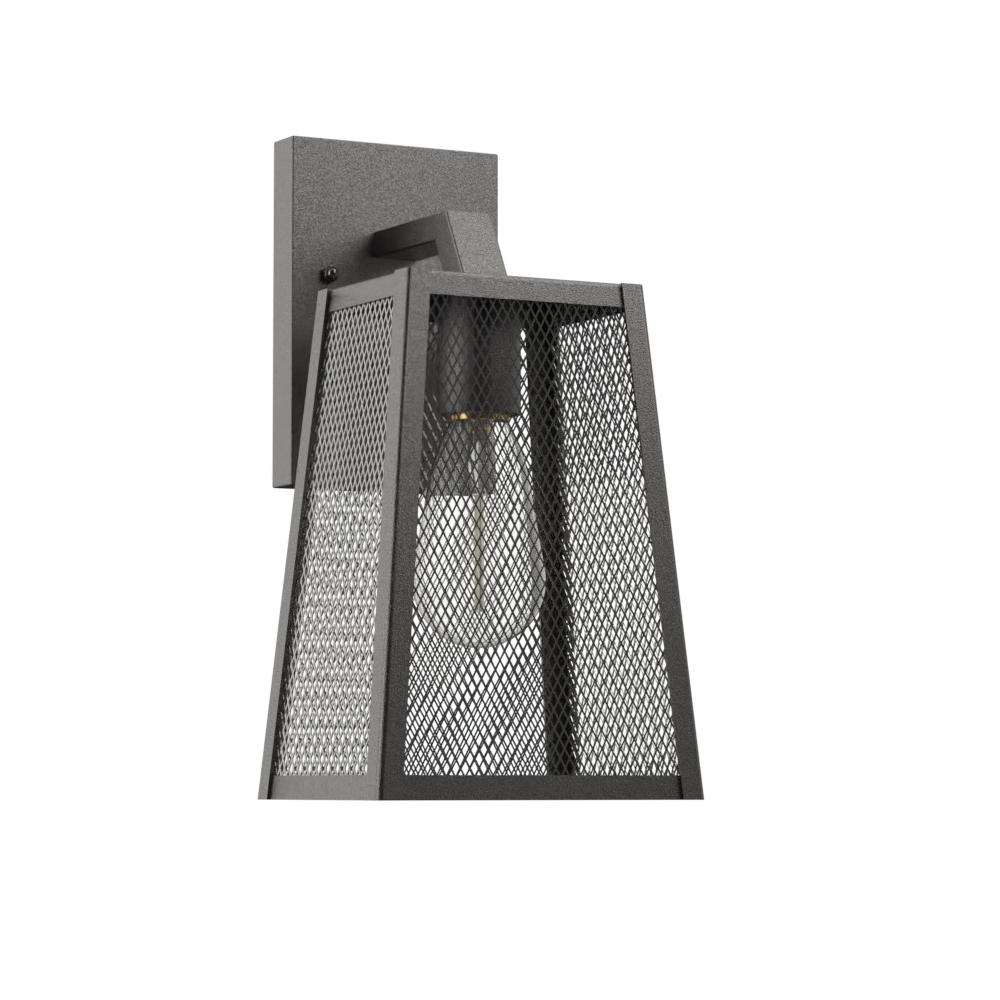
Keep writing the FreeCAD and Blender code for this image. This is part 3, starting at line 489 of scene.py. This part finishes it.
def arc(centre, radius, start, end, steps):
    points = []
    for step in range(steps + 1):
        angle = start + (end - start) * step / steps
        points.append((centre[0] + radius * math.cos(angle), centre[1] + radius * math.sin(angle)))
    return points


def make_turned(node, suffix, profile, segments, sharp_degrees, shape=None, place=None, finish=None):
    """A turned piece in place of a node, on the bulb's axis unless a place is given."""
    vertices, faces = turned(profile, segments, shape)
    place = place or Matrix.Translation(BULB_AXIS)
    placed = [place @ vertex for vertex in vertices]
    stand_for(node, suffix, placed, faces, math.radians(sharp_degrees), finish)


glass_low, glass_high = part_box("bulb_glass")
BULB_AXIS = Vector(((glass_low.x + glass_high.x) / 2, (glass_low.y + glass_high.y) / 2, 0))
GLASS_RADIUS = (glass_high.x - glass_low.x) / 2
WIDE_LEVEL = glass_low.z + GLASS_RADIUS


def glass_profile(inset):
    """From the neck down: a straight collar, a flare that bends into the taper, and the round end."""
    low = (GLASS_RADIUS * math.cos(TAPER), WIDE_LEVEL + GLASS_RADIUS * math.sin(TAPER))
    shoulder = ROOF_LEVEL - SHOULDER_LEVEL
    high = (low[0] - (shoulder - low[1]) * math.tan(TAPER), shoulder)
    neck = (NECK_RADIUS, ROOF_LEVEL - NECK_END)
    run, drop = high[0] - neck[0], neck[1] - high[1]
    lean = math.atan2(run, drop)
    chord = math.hypot(run, drop)
    bend = chord / 2 / math.sin(lean - TAPER)
    centre = (high[0] - bend * math.cos(TAPER), high[1] - bend * math.sin(TAPER))
    points = [(neck[0] - inset, glass_high.z)]
    points += arc(centre, bend - inset, 2 * lean - TAPER, TAPER, steps=12)
    points += arc((0, WIDE_LEVEL), GLASS_RADIUS - inset, TAPER, -math.pi / 2, steps=40)[:-1]
    points.append((0, WIDE_LEVEL - GLASS_RADIUS + inset))
    return points


def make_bulb_glass():
    outer = glass_profile(0)
    inner = glass_profile(GLASS_SHEET)
    make_turned("bulb_glass", "_shell", inner[::-1] + outer, segments=128, sharp_degrees=60)


def make_bulb_cap():
    """A brass cap: a chamfered top, a rolled thread and a flared skirt."""
    low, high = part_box("bulb_cap")
    sheet = 0.4 * MM
    rim = (high.x - low.x) / 2
    crest = 13.1 * MM
    top_ring = 9.5 * MM
    roll_in, roll_up = 0.4 * MM, 0.3 * MM
    shoulder = high.z - (crest - top_ring)
    thread_end = ROOF_LEVEL - THREAD_END
    flare = ROOF_LEVEL - SKIRT_START
    steps = 60

    def thread(angle, radius, height):
        if not thread_end < height < shoulder:
            return radius
        fade = min(1, (height - thread_end) / THREAD_PITCH, (shoulder - height) / THREAD_PITCH)
        turn = height / THREAD_PITCH - angle / math.tau
        return radius - THREAD_DEPTH * fade * (0.5 - 0.5 * math.cos(math.tau * turn))

    profile = [(0, high.z), (top_ring, high.z), (crest - roll_in, shoulder + roll_up), (crest, shoulder)]
    for step in range(1, steps):
        profile.append((crest, shoulder + (thread_end - shoulder) * step / steps))
    profile += [(crest, thread_end), (rim, flare), (rim, low.z), (rim - sheet, low.z), (rim - sheet, flare)]
    profile.append((0, flare))
    make_turned("bulb_cap", "_threaded", profile, segments=96, sharp_degrees=30, shape=thread)


def make_bulb_stem():
    """A blown tube with a flared top and a pinched lower end."""
    low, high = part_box("bulb_stem")
    flare = (high.x - low.x) / 2
    tube = 5.5 * MM
    wall = 0.9 * MM
    collar = high.z - 7 * MM
    # Radius and height above the lower end, in millimetres: the pinched end outside, then the closed bore
    pinched = ((5.5, 10), (4.7, 7), (3.8, 3), (3.2, 1.4), (2.56, 0.4), (0, 0))
    closed = ((0, 12), (3, 12.6), (4.6, 16))
    profile = [(flare, high.z)]
    profile += arc((flare, collar), flare - tube, math.pi / 2, math.pi, steps=8)[1:]
    profile += [(radius * MM, low.z + height * MM) for radius, height in pinched + closed]
    profile += [(tube - wall, collar), (flare - wall, high.z), (flare, high.z)]
    make_turned("bulb_stem", "_blown", profile, segments=64, sharp_degrees=50)


def make_cap_nut(node):
    """A hexagon with chamfered corners under a round dome, with a blind bore from the wall's side."""
    low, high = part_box(node)
    middle = (low.x + high.x) / 2
    height = high.y - low.y
    flat = (high.z - low.z) / 2
    hexagon = 3.2 * MM
    hexagon_levels = (0.15 * MM, 0.3 * MM, 0.45 * MM, 1.6 * MM, 2.75 * MM, 2.9 * MM, 3.05 * MM)
    dome = 3.0 * MM
    dome_foot = 0.15 * MM
    dome_step = 0.02 * MM
    dome_start = 0.2 * MM
    bore = 2.1 * MM
    bore_depth = 5.4 * MM
    bore_chamfer = 0.4 * MM
    bevel = math.tan(math.radians(30))
    flat_share = 1.02
    face = flat * flat_share
    past_corners = flat * 2

    def hexagonal(angle, radius, level):
        if radius < face or level > hexagon:
            return radius
        offset = (angle + math.pi / 6) % (math.pi / 3) - math.pi / 6
        corner = flat / math.cos(offset)
        ends = min(level, hexagon - level) / bevel
        return min(corner, face + ends)

    profile = [(0, bore_depth), (bore, bore_depth), (bore, bore_chamfer), (bore + bore_chamfer, 0), (face, 0)]
    profile += [(past_corners, level) for level in hexagon_levels]
    profile += [(face, hexagon), (dome + dome_foot, hexagon + dome_step), (dome, hexagon + dome_start)]
    profile += arc((0, height - dome), dome, 0, math.pi / 2, steps=12)[:-1]
    profile.append((0, height))
    place = Matrix.Translation((middle, high.y, 0)) @ Matrix.Rotation(math.pi / 2, 4, "X")
    make_turned(node, "_domed", profile, segments=72, sharp_degrees=25,
                shape=hexagonal, place=place, finish="coated_nut")


def make_light_strips():
    """Round strips with a cap at each end, standing in a ring."""
    low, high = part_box("light_strips")
    radius = 0.75 * MM
    circle = 1.6 * MM
    count = 4
    cap = 2.2 * MM
    cap_radius_share = 0.8
    cap_slope_share = 1.15
    cap_radius = radius * cap_radius_share
    cap_slope = cap * cap_slope_share
    profile = [(0, high.z), (cap_radius, high.z), (cap_radius, high.z - cap), (radius, high.z - cap_slope),
               (radius, low.z + cap_slope), (cap_radius, low.z + cap), (cap_radius, low.z), (0, low.z)]
    points, loops = turned(profile, segments=20)
    vertices, faces = [], []
    for index in range(count):
        turn = math.tau * (index + 0.5) / count
        shift = BULB_AXIS + Vector((circle * math.cos(turn), circle * math.sin(turn), 0))
        first = len(vertices)
        vertices += [shift + point for point in points]
        faces += [tuple(first + corner for corner in loop) for loop in loops]
    stand_for("light_strips", "_round", vertices, faces, smooth_angle=math.radians(40))


# Floor, light and camera

def make_world():
    """White for the camera and through glass. Gloss sees white behind the object on its left side,
    a grey fill far to the right, and dim elsewhere."""
    world = bpy.data.worlds.new("studio")
    scene.world = world
    world.use_nodes = True
    graph = Graph(world.node_tree)
    direction = graph.node("ShaderNodeTexCoord").outputs["Generated"]
    axes = graph.node("ShaderNodeSeparateXYZ", Vector=direction).outputs
    grades = [graph.spread(axes[axis], DIM_STRENGTH, 1.0, *ends, smooth=True)
              for axis, ends in DIM_TO_WHITE.items()]
    mirrored = grades[0]
    for grade in grades[1:]:
        mirrored = graph.combine("MINIMUM", mirrored, grade)
    fill = graph.spread(axes["X"], 0.0, SIDE_FILL, FILL_START, FILL_END, smooth=True)
    mirrored = graph.combine("MAXIMUM", mirrored, fill)
    path = graph.node("ShaderNodeLightPath").outputs
    level = AMBIENT_STRENGTH
    for ray, seen in (("Is Glossy Ray", mirrored), ("Is Transmission Ray", 1.0), ("Is Camera Ray", 1.0)):
        level = graph.choose(path[ray], level, seen)
    background = world.node_tree.nodes["Background"]
    graph.feed(background.inputs["Color"], WHITE)
    graph.feed(background.inputs["Strength"], level)


def make_floor():
    """A pale floor that gloss sees as dark, so that the undersides of the metal stay dark."""
    mesh = bpy.data.meshes.new("floor")
    reach = FLOOR_REACH
    corners = [(-reach, -reach), (reach, -reach), (reach, reach), (-reach, reach)]
    mesh.from_pydata([(x, y, FLOOR_LEVEL) for x, y in corners], [], [(0, 1, 2, 3)])
    floor = bpy.data.objects.new("floor", mesh)
    scene.collection.objects.link(floor)
    paint = Paint("pale_floor")
    colour = paint.fade(paint.noise(FLOOR_PATCH), *FLOOR_GREYS)
    path = paint.node("ShaderNodeLightPath").outputs
    mirrored = paint.blend(path["Is Glossy Ray"], colour, FLOOR_IN_GLOSS)
    colour = paint.blend(path["Is Transmission Ray"], mirrored, colour)
    mesh.materials.append(paint.finish(colour, FLOOR_ROUGHNESS))


def add_lamp(name, place, target, size, power):
    data = bpy.data.lights.new(name, "AREA")
    data.shape = "RECTANGLE"
    data.size, data.size_y = size
    data.energy = power
    lamp = bpy.data.objects.new(name, data)
    scene.collection.objects.link(lamp)
    lamp.location = place
    lamp.rotation_euler = (Vector(target) - Vector(place)).to_track_quat("-Z", "Y").to_euler()


def make_camera():
    data = bpy.data.cameras.new("camera")
    data.lens = CAMERA_LENS
    data.sensor_width = CAMERA_SENSOR
    camera = bpy.data.objects.new("camera", data)
    scene.collection.objects.link(camera)
    camera.location = CAMERA_PLACE
    camera.rotation_euler = (math.pi / 2 + CAMERA_PITCH, 0, CAMERA_YAW)
    return camera


dress_nodes()
make_mesh_panel("mesh_front", Vector((0, -1, 0)), STRAND_TILT)
make_mesh_panel("mesh_rear", Vector((0, 1, 0)), STRAND_TILT)
make_mesh_panel("mesh_left", Vector((-1, 0, 0)), LEFT_TILT)
make_mesh_panel("mesh_right", Vector((1, 0, 0)), RIGHT_TILT)
make_bulb_glass()
make_bulb_cap()
make_bulb_stem()
make_light_strips()
make_cap_nut("cap_nut_left")
make_cap_nut("cap_nut_right")

# Each lamp: place, what it faces, width and height, watts
LANTERN_MIDDLE = (0, BULB_AXIS.y, -0.12)
PLATE_MIDDLE = (0, 0, 0.02)
LAMPS = {
    "side_box": ((-1.6, -0.2, 0.1), LANTERN_MIDDLE, (0.6, 1.4), 4),
    "front_box": ((0.22, -0.45, 0.23), PLATE_MIDDLE, (0.36, 0.3), 0.62),
    "upper_box": ((0.52, -0.54, 0.98), LANTERN_MIDDLE, (0.7, 0.5), 0.85),
    "top_box": ((0.55, 0, 1.1), LANTERN_MIDDLE, (0.8, 0.4), 2.6),
}

make_world()
make_floor()
for name, settings in LAMPS.items():
    add_lamp(name, *settings)
bpy.context.scene.camera = make_camera()
scene.view_settings.view_transform = "Standard"
